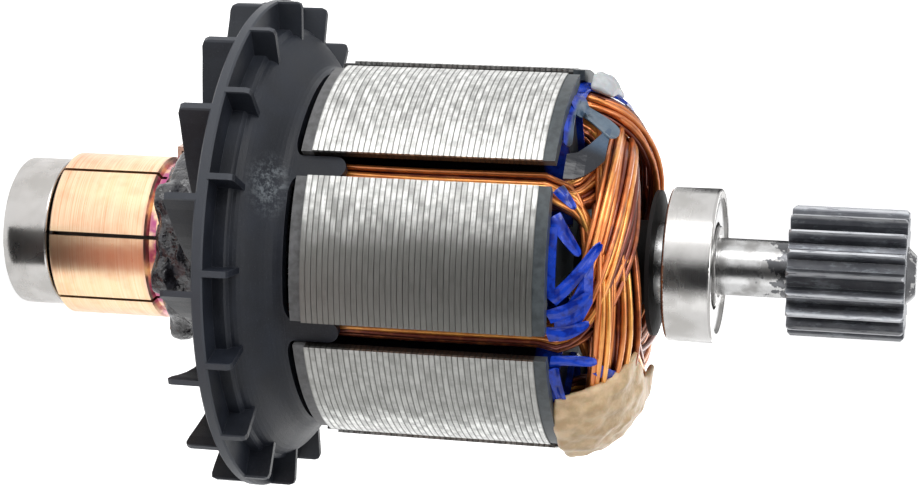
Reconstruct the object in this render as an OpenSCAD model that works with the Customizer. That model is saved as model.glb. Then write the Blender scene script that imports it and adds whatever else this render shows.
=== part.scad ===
// Armature of a brushed motor: shaft, pinion, two ball bearings, slotted stack of sheets,
// seven coils, hook commutator and a moulded fan. It stands on the rear bearing's outer ring,
// shaft axis on +Z, pinion up. Angle 0 is the middle of one tooth, and of one commutator slit.
// Along the shaft each piece starts where the one below it ends, so a longer piece moves the rest.

/* [Shaft] */
// Radius of the bearing seats and of the free end
seat_r = 3.5; // [3:0.25:4]
// Step from the seats to the thicker shaft inside the stack and the commutator
core_step = 0.5; // [0.3:0.1:0.8]
// Recess of the rear shaft end behind the rear bearing's face
end_recess = 0.4; // [0.2:0.1:1]
// Length of the shaft that stands out past the pinion
end_stub = 1.1; // [0.8:0.1:4]
// Chamfer of the free end
end_chamfer = 1.05; // [0.3:0.05:1.5]

/* [Ball bearings] */
// Outer radius of a bearing
bearing_r = 9.5; // [9:0.25:11]
// Width of a bearing
bearing_w = 6; // [5.5:0.25:7]
// Number of balls
ball_count = 7; // [6:1:8]
// Radial running clearance of a ball in its race
race_clearance = 0.03; // [0.02:0.01:0.05]

/* [Commutator] */
// Radius of the brush track
track_r = 10.4; // [10:0.1:11.5]
// Length of the brush track
track_len = 12.95; // [10:0.05:16]
// Width of the groove between the track and the risers
groove_w = 1.4; // [1:0.1:2.4]
// Height of the risers that the hooks grow from
riser_h = 3.3; // [2.8:0.1:4.5]
// Width of the slit between two bars
slit_w = 0.5; // [0.4:0.05:1]
// Length of the resin neck between the risers and the fan
neck_len = 8.7; // [6:0.1:12]

/* [Fan] */
// Outer radius of the fan
fan_r = 31; // [30:0.1:35]
// Thickness of the fan disc
fan_disc_t = 1.4; // [1.2:0.1:2]
// Length of the bell between the disc and the stack
bell_len = 8.05; // [7:0.05:11]
// Number of blades, and of fins on the other face
blade_count = 17; // [13:1:18]
// Height of the blades below the disc
blade_h = 4; // [3:0.1:5]
// Height of the fins above the disc
fin_h = 3; // [2:0.1:4]
// Thickness of a blade and of a fin
blade_t = 0.75; // [0.6:0.05:1.2]
// Angle by which a blade sweeps from its tip to its root
blade_sweep = 19; // [0:1:24]

/* [Stack] */
// Outer radius of the stack
stack_r = 23.65; // [23:0.05:26]
// Number of sheets
sheet_count = 40; // [20:1:40]
// Distance from one sheet to the next
sheet_pitch = 0.6975; // [0.5:0.0025:0.8]
// Clear joint between two sheets, which holds the core varnish
sheet_joint = 0.06; // [0.03:0.01:0.1]
// Width of the mouth of a slot
mouth_w = 3.3; // [2.8:0.1:4]
// Width of a tooth behind its tip
tooth_w = 8; // [7.2:0.1:8.8]
// Thickness of the end insulators
insulator_t = 1.45; // [1:0.05:2]
// Thickness of the slot liner
liner_t = 0.3; // [0.2:0.05:0.4]

/* [Winding] */
// Number of slots from one side of a coil to the other
span_count = 3; // [2:1:3]
// Ridges that stand for strands across one coil on the end winding
strands = 12; // [6:1:14]
// Height of the end winding above its liners
overhang = 8.41; // [7:0.01:11]

/* [Front end] */
// Length of the collar between the winding's washer and the front bearing
collar_len = 1.5; // [0.8:0.1:4]
// Length of bare shaft between the front bearing and the pinion
bare_len = 8.7; // [4:0.1:14]
// Teeth of the pinion
teeth = 18; // [16:1:20]
// Module, which is the pitch diameter divided by the number of teeth
gear_module = 0.8; // [0.75:0.05:0.9]
// Width of the toothed part
pinion_w = 13.9; // [10:0.1:18]

/* [Hidden] */
$fn = 72;

slots = 7;
pitch = 360 / slots;
half_pitch = pitch / 2;
// Angle 0 of the description faces -Y
front = -90;
// Hairline that keeps touching solids apart
hair = 0.02;
// Small chamfer that breaks a turned or moulded edge
edge = 0.2;

// Heights along the shaft, from the rear bearing up
bar_gap = 0.75;
liner_rise = 0.8;
washer_gap = 0.1;
washer_t = 0.5;
track_z = bearing_w + bar_gap;
track_top = track_z + track_len;
riser_z = track_top + groove_w;
riser_top = riser_z + riser_h;
fan_z = riser_top + neck_len;
disc_top = fan_z + fan_disc_t;
rear_face = disc_top + bell_len;
stack_z = rear_face + insulator_t;
stack_top = stack_z + sheet_count * sheet_pitch - sheet_joint;
front_face = stack_top + insulator_t;
winding_z = front_face + liner_rise;
nose_z = winding_z + overhang;
washer_z = nose_z + washer_gap;
collar_z = washer_z + washer_t;
front_bearing_z = collar_z + collar_len;
pinion_z = front_bearing_z + bearing_w + bare_len;
pinion_top = pinion_z + pinion_w;
shaft_top = pinion_top + end_stub;

core_r = seat_r + core_step;
sleeve_t = 1.2;
sleeve_r = core_r + sleeve_t;
washer_r = 9;

copper = "#c86a32";
enamel = "#c4662a";
steel = "#b9bcc0";
dark = "#2b2f36";
blue = "#1f49d8";

// ---------------------------------------------------------------- shared shapes

// A turned tube between two heights
module tube(outer, inner, z0, z1) {
    translate([0, 0, z0])
        difference() {
            cylinder(r = outer, h = z1 - z0);
            translate([0, 0, -1])
                cylinder(r = inner, h = z1 - z0 + 2);
        }
}

// Copies of the children at each slot
module each_slot() {
    for (k = [0 : slots - 1])
        rotate(front + pitch * (k + 0.5))
            children();
}

// Half width of a slot at distance r along its centre line, with the walls moved in
function slot_half(r, inset) = r * tan(half_pitch) - (tooth_w / 2 + inset) / cos(half_pitch);

slot_floor = 12;
// Thickness of a tooth's tip at the mouth, and of the slope behind it
tip_t = 1.45;
tip_slope = 1.3;
slot_lip = stack_r - tip_t;
slot_shoulder = slot_lip - tip_slope;

// The liner's front edges: folds over the tooth ends, and cuffs over the wires
fold_angle = 21;
fold_h = 0.9;
cuff_gap = 0.08;
cuff_reach = 0.3;
cuff_span = [-1, -0.1];

// Section of a slot between two distances from the axis, with the walls moved in
function slot_points(r0, r1, inset) = [
    [r0, -slot_half(r0, inset)],
    [r1, -slot_half(r1, inset)],
    [r1, slot_half(r1, inset)],
    [r0, slot_half(r0, inset)]
];

module slot_section() {
    polygon(slot_points(slot_floor, slot_shoulder, 0));
    polygon([
        [slot_shoulder, -slot_half(slot_shoulder, 0)],
        [slot_lip, -mouth_w / 2],
        [slot_lip, mouth_w / 2],
        [slot_shoulder, slot_half(slot_shoulder, 0)]
    ]);
    translate([slot_lip - hair, -mouth_w / 2])
        square([stack_r, mouth_w]);
}

// One stamped sheet of the stack, or an end insulator of the same outline
module sheet_outline(outer) {
    difference() {
        circle(r = outer);
        circle(r = core_r);
        each_slot()
            slot_section();
    }
}

// ---------------------------------------------------------------- shaft and pinion

module shaft() {
    color(steel)
        rotate_extrude()
            polygon([
                [0, end_recess],
                [seat_r - edge, end_recess],
                [seat_r, end_recess + edge],
                [seat_r, bearing_w],
                [core_r, bearing_w],
                [core_r, collar_z],
                [seat_r, collar_z],
                [seat_r, shaft_top - end_chamfer],
                [seat_r - end_chamfer, shaft_top],
                [0, shaft_top]
            ]);
}

pressure_angle = 20;
pinion_phase = 2;
tooth_chamfer = 0.35;
backlash_angle = 1;
pitch_r = gear_module * teeth / 2;
tip_r = pitch_r + gear_module;
root_r = pitch_r - 1.25 * gear_module;
base_r = pitch_r * cos(pressure_angle);

// Roll angle of the involute at radius r, and the flank's angle there from its base
function roll(r) = r <= base_r ? 0 : sqrt(pow(r / base_r, 2) - 1);
function involute(r) = roll(r) * 180 / PI - atan(roll(r));
// Half the angle that a tooth fills at radius r
function half_tooth(r) = 90 / teeth - backlash_angle + involute(pitch_r) - involute(max(r, base_r));

flank_steps = 4;
function flank_r(i) = root_r + (tip_r - root_r) * i / flank_steps;
function at(r, a) = [r * cos(a), r * sin(a)];

module pinion() {
    gear = [for (t = [0 : teeth - 1]) each [
        for (i = [0 : flank_steps]) at(flank_r(i), 360 / teeth * t - half_tooth(flank_r(i))),
        for (i = [flank_steps : -1 : 0]) at(flank_r(i), 360 / teeth * t + half_tooth(flank_r(i)))
    ]];
    color("#4a4f57")
        translate([0, 0, pinion_z])
            rotate(front + pinion_phase)
                difference() {
                    intersection() {
                        linear_extrude(pinion_w)
                            polygon(gear);
                        rotate_extrude()
                            polygon([
                                [0, 0],
                                [tip_r - tooth_chamfer, 0],
                                [tip_r + hair, tooth_chamfer + hair],
                                [tip_r + hair, pinion_w - tooth_chamfer - hair],
                                [tip_r - tooth_chamfer, pinion_w],
                                [0, pinion_w]
                            ]);
                    }
                    translate([0, 0, -1])
                        cylinder(r = seat_r, h = pinion_w + 2);
                }
}

module collar() {
    color(steel)
        tube(inner_land_r, seat_r, collar_z, front_bearing_z);
}

// ---------------------------------------------------------------- ball bearings

// Room between the seat and the outside, which the rings and the balls share
ring_room = bearing_r - seat_r;
ball_circle_r = (bearing_r + seat_r) / 2;
ball_r = 0.3 * min(ring_room, bearing_w);
inner_land_r = seat_r + ring_room / 4;
outer_land_r = bearing_r - ring_room / 4;
shield_seat_t = 0.75;
shield_t = 0.3;
shield_lip = 0.35;
shield_gap = 0.4;
shield_seat_r = outer_land_r + shield_lip;
shield_bore_r = inner_land_r + shield_gap;
cage_t = 0.6;
cage_gap = 0.15;
pocket_clearance = 0.06;
cage_z = shield_seat_t + cage_gap;
corner = 0.35;
land_chamfer = 0.15;

module race_groove() {
    translate([0, 0, bearing_w / 2])
        rotate_extrude()
            translate([ball_circle_r, 0])
                circle(r = ball_r + race_clearance);
}

module inner_ring() {
    color(steel)
        difference() {
            rotate_extrude()
                polygon([
                    [seat_r + corner, 0],
                    [inner_land_r - land_chamfer, 0],
                    [inner_land_r, land_chamfer],
                    [inner_land_r, bearing_w - land_chamfer],
                    [inner_land_r - land_chamfer, bearing_w],
                    [seat_r + corner, bearing_w],
                    [seat_r, bearing_w - corner],
                    [seat_r, corner]
                ]);
            race_groove();
        }
}

module outer_ring() {
    color(steel)
        difference() {
            rotate_extrude()
                union() {
                    translate([outer_land_r, shield_seat_t])
                        square([bearing_r - outer_land_r, bearing_w - 2 * shield_seat_t]);
                    for (side = [0, 1])
                        translate([0, side * (bearing_w - corner)])
                            translate([shield_seat_r, 0])
                                square([bearing_r - corner - shield_seat_r, corner]);
                    translate([shield_seat_r, corner])
                        square([bearing_r - shield_seat_r, bearing_w - 2 * corner]);
                    for (h = [corner, bearing_w - corner])
                        translate([bearing_r - corner, h])
                            circle(r = corner);
                }
            race_groove();
        }
}

// Copies of the children at each ball's centre, with the outward direction along X
module each_ball() {
    for (i = [0 : ball_count - 1])
        rotate(360 / ball_count * (i + 0.5))
            translate([ball_circle_r, 0, bearing_w / 2])
                children();
}

module balls() {
    color("#e8eaec")
        each_ball()
            sphere(r = ball_r);
}

// Band cage with a round pocket for each ball
module cage() {
    color("#8d9094")
        difference() {
            tube(ball_circle_r + cage_t / 2, ball_circle_r - cage_t / 2, cage_z, bearing_w - cage_z);
            each_ball()
                rotate([0, 90, 0])
                    cylinder(r = ball_r + pocket_clearance, h = 2 * cage_t, center = true);
        }
}

module shields() {
    color("#d3d5d8")
        for (z = [shield_seat_t - shield_t, bearing_w - shield_seat_t])
            tube(shield_seat_r, shield_bore_r, z, z + shield_t);
}

module at_front_bearing() {
    translate([0, 0, front_bearing_z])
        children();
}

module front_inner_ring() { at_front_bearing() inner_ring(); }
module front_outer_ring() { at_front_bearing() outer_ring(); }
module front_balls() { at_front_bearing() balls(); }
module front_cage() { at_front_bearing() cage(); }
module front_shields() { at_front_bearing() shields(); }

// ---------------------------------------------------------------- stack

rear_inset = 0.35;
front_inset = 0.15;

module lamination_stack() {
    color("#a9aaa8")
        for (i = [0 : sheet_count - 1])
            translate([0, 0, stack_z + i * sheet_pitch])
                linear_extrude(sheet_pitch - sheet_joint)
                    sheet_outline(stack_r);
}

module rear_insulator() {
    color("#565b63")
        translate([0, 0, rear_face])
            linear_extrude(insulator_t)
                sheet_outline(stack_r - rear_inset);
}

module front_insulator() {
    color("#3c4148")
        translate([0, 0, stack_top])
            linear_extrude(insulator_t)
                sheet_outline(stack_r - front_inset);
}

// A folded sheet along the walls and floor of each slot
module liner() {
    translate([0, 0, rear_face])
        linear_extrude(winding_z - rear_face)
            difference() {
                polygon(slot_points(slot_floor, slot_shoulder, hair));
                polygon(slot_points(slot_floor + liner_t, slot_lip, liner_t + hair));
            }
}

// Edge of a liner folded out over the end of a tooth
module tooth_fold() {
    rotate(-fold_angle / 2)
        translate([0, 0, front_face])
            rotate_extrude(angle = fold_angle)
                translate([fold_r, 0])
                    square([liner_t, fold_h]);
}

// The sheets show at the front end, where their edges fold out and wrap the wires
module slot_liners() {
    color(blue) {
        each_slot() {
            liner();
            band(outer_dome, -1, 3, -cuff_gap, -cuff_gap, 0, cuff_reach, cuff_gap + liner_t, cuff_span);
            rotate(half_pitch)
                tooth_fold();
        }
    }
}

// ---------------------------------------------------------------- coils

half_span = span_count / 2;
wire_r = 0.42;
// The wires end this far behind the lip of the slot, and the fan's fingers start this far above
wire_inset = 0.9;
finger_gap = 0.25;
side_top = slot_lip - wire_inset;
side_foot = slot_floor + liner_t + hair;
layer_split = side_foot + (side_top - side_foot) * 0.48;
fold_r = side_top + liner_t;

// Part of a slot that one coil side fills, between two distances from the axis
module coil_side(r0, r1) {
    translate([0, 0, rear_face])
        linear_extrude(winding_z - rear_face - hair)
            polygon(slot_points(r0, r1, liner_t + 2 * hair));
}

// The row of wires that shows in the mouth of a slot
module mouth_wires() {
    for (i = [-1.5 : 1 : 1.5])
        translate([side_top - wire_r, i * 2 * (wire_r + 0.01), rear_face])
            cylinder(r = wire_r, h = winding_z - rear_face - hair);
}

// End winding: each layer of a coil is a band that leaves its slot, widens to its seventh of the
// circle and turns round the shaft as it climbs the dome to the nose.
function bezier(p, t) = pow(1 - t, 2) * p[0] + 2 * t * (1 - t) * p[1] + t * t * p[2];
function smooth(t) = t <= 0 ? 0 : t >= 1 ? 1 : t * t * (3 - 2 * t);
// Share of the turn that is done at t
function turn_share(t) = (1 - cos(180 * pow(t, 1.2))) / 2;

nose_r = 8.5;
// How far the dome's shoulder lies inside its foot, and below its top
shoulder_in = 2;
shoulder_drop = 0.7;
layer_drop = 3.7;
band_depth = 4.2;
band_gap_angle = 0.4;
ridge_h = 0.3;
outer_foot = side_top - 0.1;
inner_foot = layer_split - 0.3;
outer_dome = [[outer_foot, winding_z], [outer_foot - shoulder_in, nose_z - shoulder_drop], [nose_r, nose_z]];
inner_dome = [
    [inner_foot, winding_z],
    [inner_foot - shoulder_in, nose_z - layer_drop],
    [nose_r, nose_z - layer_drop]
];
slot_half_angle = 10;
inner_strands = 4;
band_half_angle = half_pitch - band_gap_angle;
band_steps = 12;

// Point of a band: t along it, u across it from -1 to 1, and a depth below the dome
function band_point(dome, sense, t, u, depth) =
    let (
        p = bezier(dome, t) - depth * at(1, 90 * t),
        w = slot_half_angle + (band_half_angle - slot_half_angle) * smooth(t / 0.45),
        a = sense * half_span * pitch * turn_share(t) + u * w
    )
    [p[0] * cos(a), p[0] * sin(a), p[1]];

// A band with ridges on its outer face. It runs from the slot to t = reach, covers the range
// across in span, and its outer face lies lift above the dome and its inner face at the depths.
module band(dome, sense, ridges, depth0, depth1, groove, reach = 1, lift = 0, span = [-1, 1]) {
    steps = ceil(band_steps * reach);
    top = 2 * ridges;
    last = top + 3;
    ring = last + 1;
    middle = top + 2;
    function across(f) = span[0] + (span[1] - span[0]) * f;
    points = [for (i = [0 : steps]) let (t = reach * i / steps, depth = depth0 + (depth1 - depth0) * t) each [
        for (j = [0 : top]) band_point(dome, sense, t, across(j / top), (j % 2 == 0 ? groove : 0) - lift),
        for (f = [1, 0.5, 0]) band_point(dome, sense, t, across(f), depth)
    ]];
    walls = [for (i = [0 : steps - 1], j = [0 : last])
        let (a = i * ring + j, b = i * ring + (j + 1) % ring, c = b + ring, d = a + ring)
        each j == last ? [[a, d, b], [b, d, c]] : [[a, c, b], [a, d, c]]];
    cap = [for (j = [0 : last]) if (j != middle && (j + 1) % ring != middle) [j, (j + 1) % ring]];
    end = steps * ring;
    caps = [for (e = cap) each [[middle, e[0], e[1]], [end + middle, end + e[1], end + e[0]]]];
    polyhedron(points, concat(walls, caps));
}

// The rear end winding fills the bell and stays clear of its wall and of the disc
bell_inset = 1.05;
shell_t = 1.5;
bell_clearance = 0.1;
rear_clearance = 1.5;
bell_r = stack_r - bell_inset;
rear_r = bell_r - shell_t - bell_clearance;
rear_end = disc_top + rear_clearance;
rear_h = rear_face - hair - rear_end;
rear_dome = [
    [rear_r, rear_face - hair],
    [rear_r - 0.1 * rear_h, rear_end + 0.4 * rear_h],
    [rear_r - 0.3 * rear_h, rear_end + 0.15 * rear_h],
    [rear_r - rear_h, rear_end],
    [nose_r, rear_end],
    [nose_r, rear_face - hair]
];

module coil(k) {
    color(enamel) {
        rotate(front + pitch * (k + 0.5)) {
            coil_side(layer_split + hair, side_top - wire_r);
            mouth_wires();
            band(outer_dome, -1, strands, band_depth, 0.74 * band_depth, ridge_h);
        }
        rotate(front + pitch * (k + 0.5 - 2 * half_span)) {
            coil_side(side_foot, layer_split - hair);
            band(inner_dome, 1, inner_strands, 0.9 * band_depth, 0.6 * band_depth, ridge_h);
        }
        rotate(front + pitch * (k + 0.5 - half_span) - band_half_angle)
            rotate_extrude(angle = 2 * band_half_angle)
                polygon(rear_dome);
    }
}

module coil_1() { coil(0); }
module coil_2() { coil(1); }
module coil_3() { coil(2); }
module coil_4() { coil(3); }
module coil_5() { coil(4); }
module coil_6() { coil(5); }
module coil_7() { coil(6); }

// ---------------------------------------------------------------- commutator

bar_t = 2.4;
groove_d = 0.7;
track_chamfer = 0.25;
riser_step = 0.1;
hook_w = 2.6;
hook_t = 0.55;
hook_h = 2.6;
lead_r = 0.45;
lead_angle = 2.6;
lead_gap = 0.3;
resin_t = 1.6;
core_outer_r = track_r - bar_t;
groove_r = track_r - groove_d;
riser_r = track_r + riser_step;
lead_circle_r = riser_r + lead_gap + lead_r;
hook_r = lead_circle_r + lead_r + hair;
resin_r = track_r + resin_t;
// The core reaches past the bars at the front, and clears the rear bearing's rings
core_lip = 0.8;
bearing_clearance = 0.4;

module bar_ring() {
    rotate_extrude()
        polygon([
            [core_outer_r, track_z],
            [track_r - edge, track_z],
            [track_r, track_z + edge],
            [track_r, track_top - track_chamfer],
            [track_r - track_chamfer, track_top],
            [groove_r, track_top + track_chamfer],
            [groove_r, riser_z - track_chamfer],
            [riser_r, riser_z],
            [riser_r, riser_top],
            [core_outer_r, riser_top]
        ]);
}

// Hook that stands up from a bar and folds back over its lead
module hook() {
    translate([groove_r, -hook_w / 2, riser_z])
        cube([hook_r - groove_r + hook_t, hook_w, hook_t]);
    translate([hook_r, -hook_w / 2, riser_z])
        cube([hook_t, hook_w, hook_h]);
}

module commutator_bars() {
    color(copper) {
        difference() {
            bar_ring();
            for (k = [0 : slots - 1])
                rotate(front + pitch * k)
                    translate([0, -slit_w / 2, track_z - 1])
                        cube([2 * track_r, slit_w, riser_top - track_z + 2]);
        }
        each_slot()
            hook();
    }
}

module commutator_core() {
    color("#1d1a19")
        rotate_extrude()
            polygon([
                [core_r, bearing_w],
                [inner_land_r - edge, bearing_w],
                [inner_land_r - edge, bearing_w + bearing_clearance],
                [groove_r - bearing_clearance, bearing_w + bearing_clearance],
                [groove_r - bearing_clearance, track_z],
                [core_outer_r, track_z],
                [core_outer_r, riser_top],
                [riser_r - bearing_clearance, riser_top],
                [riser_r - bearing_clearance, riser_top + core_lip],
                [core_r, riser_top + core_lip]
            ]);
}

lead_foot = riser_z + hook_t + hair;
lead_top = rear_end - 0.1;

module lead(clear) {
    translate([lead_circle_r, 0, lead_foot - clear])
        cylinder(r = lead_r + clear, h = lead_top - lead_foot + clear);
}

// Pairs of wire ends that run from the hooks into the fan
module commutator_leads() {
    color(enamel)
        each_slot()
            for (a = [-lead_angle, lead_angle])
                rotate(a)
                    lead(0);
}

// Dark resin poured round the leads, which ran down over the risers
resin_run = riser_h - 0.15;

module lead_resin() {
    color(dark)
        difference() {
            rotate_extrude()
                polygon([
                    [core_r, riser_top + core_lip],
                    [riser_r + hair, riser_top + core_lip],
                    [riser_r + hair, riser_top - resin_run],
                    [resin_r - edge, riser_top - resin_run / 3],
                    [resin_r, riser_top + core_lip],
                    [resin_r, fan_z + fan_disc_t / 2],
                    [core_r, fan_z + fan_disc_t / 2]
                ]);
            each_slot() {
                for (a = [-lead_angle, lead_angle])
                    rotate(a)
                        lead(hair);
                translate([groove_r, -hook_w / 2 - hair, riser_z])
                    cube([hook_r + 2 * hook_t - groove_r, hook_w + 2 * hair, hook_h + hair]);
            }
        }
}

// ---------------------------------------------------------------- fan

blade_phase = -10.6;
fin_phase = -15.1;
blade_steps = 6;
// Where the blades start, inside the bell's wall
blade_in = 4;
bore_gap = hair;
corner_r = 0.7;
blade_root_r = bell_r - blade_in;
fan_bore_r = resin_r + bore_gap;

// Angle of the blade's middle line at radius r
function blade_angle(r) = blade_sweep * pow((fan_r - r) / (fan_r - blade_root_r), 1.2);
function blade_r(i) = blade_root_r + (fan_r + edge - blade_root_r) * i / blade_steps;
function blade_edge(i, side) =
    let (r = min(blade_r(i), fan_r))
    at(blade_r(i), blade_angle(r) + side * blade_t / 2 / r * 180 / PI);

module blade() {
    linear_extrude(blade_h + edge)
        polygon(concat(
            [for (i = [0 : blade_steps]) blade_edge(i, -1)],
            [for (i = [blade_steps : -1 : 0]) blade_edge(i, 1)]
        ));
}

module fan() {
    color(dark) {
        difference() {
            union() {
                intersection() {
                    union() {
                        for (i = [0 : blade_count - 1])
                            rotate(front + blade_phase + 360 / blade_count * i)
                                translate([0, 0, fan_z - blade_h])
                                    blade();
                        for (i = [0 : blade_count - 1])
                            rotate(front + fin_phase + 360 / blade_count * i)
                                translate([bell_r, -blade_t / 2, disc_top - edge])
                                    cube([fan_r - bell_r + edge, blade_t, fin_h + edge]);
                    }
                    rotate_extrude()
                        polygon([
                            [fan_bore_r, fan_z - blade_h],
                            [fan_r - corner_r, fan_z - blade_h],
                            [fan_r - edge, fan_z - blade_h + edge],
                            [fan_r, fan_z - blade_h + corner_r],
                            [fan_r, disc_top + fin_h - corner_r],
                            [fan_r - edge, disc_top + fin_h - edge],
                            [fan_r - corner_r, disc_top + fin_h],
                            [fan_bore_r, disc_top + fin_h]
                        ]);
                }
                rotate_extrude()
                    polygon(fan_profile);
            }
            rotate_extrude()
                polygon(fan_hollow);
        }
        each_slot()
            finger();
    }
}

// A low step round the foot of the bell, and the height at which the bell has drawn in
step_r = bell_r + 0.58 * (fan_r - bell_r);
step_h = 0.2 * bell_len;
step_w = 0.6;
waist_h = 0.84 * bell_len;
waist_steps = 12;
// The bell stops this far short of the rear insulator, and only its fingers reach on
bell_gap = 1;
bell_top = rear_face - bell_gap;

// Height above the disc and radius of the bell's skin, at share t of the way to the waist
function bell_point(t) = [
    bell_r + (step_r - step_w - bell_r) * (1 + cos(180 * t)) / 2,
    disc_top + step_h + edge + (waist_h - step_h - edge) * t
];

// The disc and, above it, the step and the bell that draws in towards the stack
fan_profile = concat(
    [[fan_bore_r, fan_z], [fan_r - edge, fan_z], [fan_r, fan_z + edge], [fan_r, disc_top - edge], [fan_r - edge, disc_top]],
    [[step_r, disc_top], [step_r, disc_top + step_h - edge], [step_r - edge, disc_top + step_h]],
    [for (i = [0 : waist_steps]) bell_point(i / waist_steps)],
    [[bell_r, bell_top], [bell_r - shell_t, bell_top], [fan_bore_r, bell_top]]
);
// The room inside the bell for the rear end winding
fan_hollow = [
    [0, disc_top],
    [bell_r - shell_t - edge, disc_top],
    [bell_r - shell_t, disc_top + rear_clearance],
    [bell_r - shell_t, rear_face],
    [0, rear_face]
];

finger_side_gap = 0.25;
finger_w = mouth_w - 2 * finger_side_gap;
finger_t = 1;
finger_len = 5.6;
finger_r = side_top + finger_gap;
// The root of a finger spreads this much to each side along the bell's edge
root_w = 2.4;
root_steps = 6;

// One side of a finger, laid flat: x runs along the shaft from the insulator's face
function finger_side(side) = concat(
    [[-bell_gap - edge, side * (finger_w / 2 + root_w)]],
    [for (i = [0 : root_steps]) let (a = 90 * i / root_steps)
        [-bell_gap * cos(a), side * (finger_w / 2 + root_w * (1 - sin(a)))]],
    [[finger_len - finger_w / 2, side * finger_w / 2]]
);

// Tongue that grows out of the bell's edge and keys the fan into the mouth of a slot
module finger() {
    intersection() {
        translate([finger_r, 0, rear_face])
            rotate([0, -90, 0])
                mirror([0, 0, 1])
                    linear_extrude(finger_t)
                        union() {
                            polygon(concat(
                                finger_side(-1),
                                [for (i = [root_steps + 2 : -1 : 0]) finger_side(1)[i]]
                            ));
                            translate([finger_len - finger_w / 2, 0])
                                circle(r = finger_w / 2);
                        }
        translate([0, 0, bell_top - bell_gap])
            cylinder(h = bell_gap + bell_gap + finger_len + edge, r = bell_r - hair);
    }
}

// ---------------------------------------------------------------- front end

module shaft_sleeve() {
    color("#15161a")
        tube(sleeve_r, core_r, front_face, washer_z);
}

module end_washer() {
    color("#15161a")
        tube(washer_r, core_r, washer_z, collar_z);
}

// Putty pressed onto the end winding, over the cuffs: how far its underside lies above the dome,
// how thick its rim is, how much its surface varies, and how high each lump rises
putty_lift = cuff_gap + liner_t + cuff_gap;
putty_rim = 0.35;
putty_variation = 0.14;
balancing_h = 2.1;
trim_h = 1.4;
// Angles from and to, and shares of the dome from and to
balancing_patch = [48, 112, -0.04, 0.72];
trim_patch = [-98, -76, 0.02, 0.2];
patch_steps = [12, 8];

// A lump that follows the dome: its height above the dome over a patch of angle and length
module lump(patch, height) {
    steps_a = patch_steps[0];
    steps_t = patch_steps[1];
    function share(j) = patch[2] + (patch[3] - patch[2]) * j / steps_t;
    function place(i, j, lift) =
        let (
            p = bezier(outer_dome, share(j)) + lift * at(1, 90 * share(j)),
            a = front + patch[0] + (patch[1] - patch[0]) * i / steps_a
        )
        [p[0] * cos(a), p[0] * sin(a), p[1]];
    function bulge(i, j) = putty_lift + putty_rim
        + height * pow(sin(180 * i / steps_a) * cos(90 * pow(j / steps_t, 1.5)), 0.7)
        * (1 + putty_variation * sin(211 * i + 97 * j));
    row = steps_t + 1;
    side = row * (steps_a + 1);
    points = concat(
        [for (i = [0 : steps_a], j = [0 : steps_t]) place(i, j, bulge(i, j))],
        [for (i = [0 : steps_a], j = [0 : steps_t]) place(i, j, putty_lift)]
    );
    sheet = [for (i = [0 : steps_a - 1], j = [0 : steps_t - 1])
        let (a = i * row + j) each [[a, a + row, a + row + 1], [a, a + row + 1, a + 1]]];
    rim = concat(
        [for (j = [0 : steps_t - 1]) [j, j + 1]],
        [for (i = [0 : steps_a - 1]) [i * row + steps_t, (i + 1) * row + steps_t]],
        [for (j = [steps_t : -1 : 1]) [steps_a * row + j, steps_a * row + j - 1]],
        [for (i = [steps_a : -1 : 1]) [i * row, (i - 1) * row]]
    );
    polyhedron(points, concat(
        [for (f = sheet) [f[2], f[1], f[0]]],
        [for (f = sheet) [f[0] + side, f[1] + side, f[2] + side]],
        [for (e = rim) each [[e[1], e[0], e[0] + side], [e[1], e[0] + side, e[1] + side]]]
    ));
}

module balancing_putty() {
    color("#d9b98a")
        difference() {
            lump(balancing_patch, balancing_h);
            translate([0, 0, front_face - fold_h])
                cylinder(r = fold_r + liner_t + hair, h = 2 * fold_h + hair);
            translate([0, 0, front_face - fold_h])
                cylinder(r = 2 * stack_r, h = fold_h + hair);
        }
}

module trim_putty() {
    color("#9a9ea3")
        lump(trim_patch, trim_h);
}

module rear_inner_ring() { inner_ring(); }
module rear_outer_ring() { outer_ring(); }
module rear_balls() { balls(); }
module rear_cage() { cage(); }
module rear_shields() { shields(); }

shaft();
pinion();
collar();
lamination_stack();
rear_insulator();
front_insulator();
slot_liners();
coil_1();
coil_2();
coil_3();
coil_4();
coil_5();
coil_6();
coil_7();
commutator_bars();
commutator_core();
commutator_leads();
lead_resin();
fan();
shaft_sleeve();
end_washer();
balancing_putty();
trim_putty();
front_inner_ring();
front_outer_ring();
front_balls();
front_cage();
front_shields();
rear_inner_ring();
rear_outer_ring();
rear_balls();
rear_cage();
rear_shields();
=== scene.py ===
# %% [markdown]
# # Armature of a brushed motor
# The turning part of a small motor: a steel shaft with a pinion and two ball bearings, a stack of
# steel sheets wound with copper, a copper commutator and a moulded fan. The CAD solids are loaded
# as a fixed frame, in metres, and each piece below takes its place from them.

# %% Load the CAD frame
import math
import random

import bpy
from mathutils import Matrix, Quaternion, Vector
from mathutils import noise as solid_noise


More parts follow.
